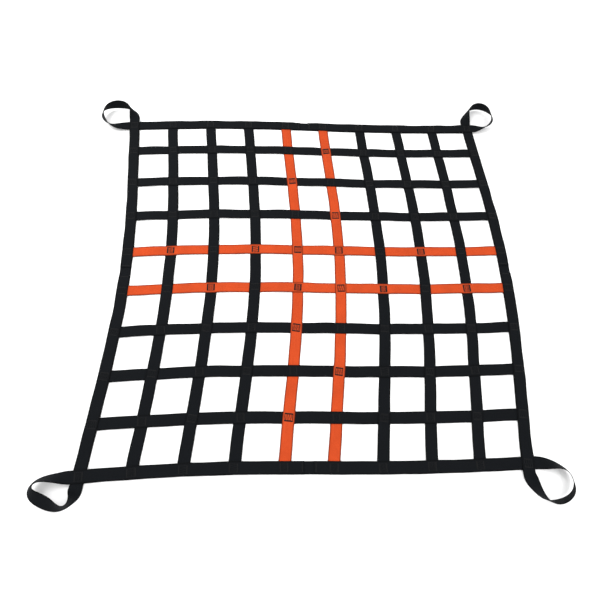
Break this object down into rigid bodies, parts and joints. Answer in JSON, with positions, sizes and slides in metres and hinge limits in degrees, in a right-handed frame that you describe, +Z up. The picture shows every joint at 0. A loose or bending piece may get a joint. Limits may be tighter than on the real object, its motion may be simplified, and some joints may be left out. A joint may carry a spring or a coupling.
{
  "type": "cargo climbing net",
  "caption": "Flat climbing net of woven black and orange straps crossing over and under, with a two-ply sewn border and a strap loop at each corner",
  "frame": {"origin": "middle of the net's outline on the floor it lies on", "axes": "+Z up from the floor, +Y towards the far edge along the lengthwise straps, +X to the right along the crosswise straps"},
  "size_m": [2.1262, 2.043, 0.0711],
  "materials": {
    "black_webbing": "woven polyester webbing, matt with a faint sheen",
    "orange_webbing": "woven polyester webbing, matt with a faint sheen"
  },
  "bodies": {
    "near_half": {"crosswise_strap_5": "orange_webbing", "crosswise_strap_6": "black_webbing", "crosswise_strap_7": "black_webbing", "crosswise_strap_8": "black_webbing", "left_edge_strap_near": "black_webbing", "lengthwise_strap_1_near": "black_webbing", "lengthwise_strap_2_near": "black_webbing", "lengthwise_strap_3_near": "black_webbing", "lengthwise_strap_4_near": "orange_webbing", "lengthwise_strap_5_near": "orange_webbing", "lengthwise_strap_6_near": "black_webbing", "lengthwise_strap_7_near": "black_webbing", "lengthwise_strap_8_near": "black_webbing", "near_edge_strap": "black_webbing", "near_left_tail_across": "black_webbing", "near_left_tail_along": "black_webbing", "near_right_tail_across": "black_webbing", "near_right_tail_along": "black_webbing", "right_edge_strap_near": "black_webbing"},
    "far_half": {"crosswise_strap_1": "black_webbing", "crosswise_strap_2": "black_webbing", "crosswise_strap_3": "black_webbing", "crosswise_strap_4": "orange_webbing", "far_edge_strap": "black_webbing", "far_left_tail_across": "black_webbing", "far_left_tail_along": "black_webbing", "far_right_tail_across": "black_webbing", "far_right_tail_along": "black_webbing", "left_edge_strap_far": "black_webbing", "lengthwise_strap_1_far": "black_webbing", "lengthwise_strap_2_far": "black_webbing", "lengthwise_strap_3_far": "black_webbing", "lengthwise_strap_4_far": "orange_webbing", "lengthwise_strap_5_far": "orange_webbing", "lengthwise_strap_6_far": "black_webbing", "lengthwise_strap_7_far": "black_webbing", "lengthwise_strap_8_far": "black_webbing", "right_edge_strap_far": "black_webbing"},
    "far_left_loop_body": {"far_left_loop": "black_webbing"},
    "far_right_loop_body": {"far_right_loop": "black_webbing"},
    "near_left_loop_body": {"near_left_loop": "black_webbing"},
    "near_right_loop_body": {"near_right_loop": "black_webbing"}
  },
  "joints": [
    {"name": "net_fold", "type": "hinge", "parent": "near_half", "child": "far_half", "pos_m": [0.0713, 0.0237, 0.0056], "axis": [1, 0, 0], "range_deg": [0, 150]},
    {"name": "far_left_loop_hinge", "type": "hinge", "parent": "far_half", "child": "far_left_loop_body", "pos_m": [-0.8674, 0.8615, 0.0112], "axis": [0.7071, 0.7071, 0], "range_deg": [0, 90]},
    {"name": "far_right_loop_hinge", "type": "hinge", "parent": "far_half", "child": "far_right_loop_body", "pos_m": [0.9095, 0.877, 0.0112], "axis": [0.7071, -0.7071, 0], "range_deg": [0, 90]},
    {"name": "near_left_loop_hinge", "type": "hinge", "parent": "near_half", "child": "near_left_loop_body", "pos_m": [-0.8887, -0.8772, 0.0112], "axis": [-0.7071, 0.7071, 0], "range_deg": [0, 90]},
    {"name": "near_right_loop_hinge", "type": "hinge", "parent": "near_half", "child": "near_right_loop_body", "pos_m": [0.8882, -0.8617, 0.0112], "axis": [-0.7071, -0.7071, 0], "range_deg": [0, 90]}
  ]
}
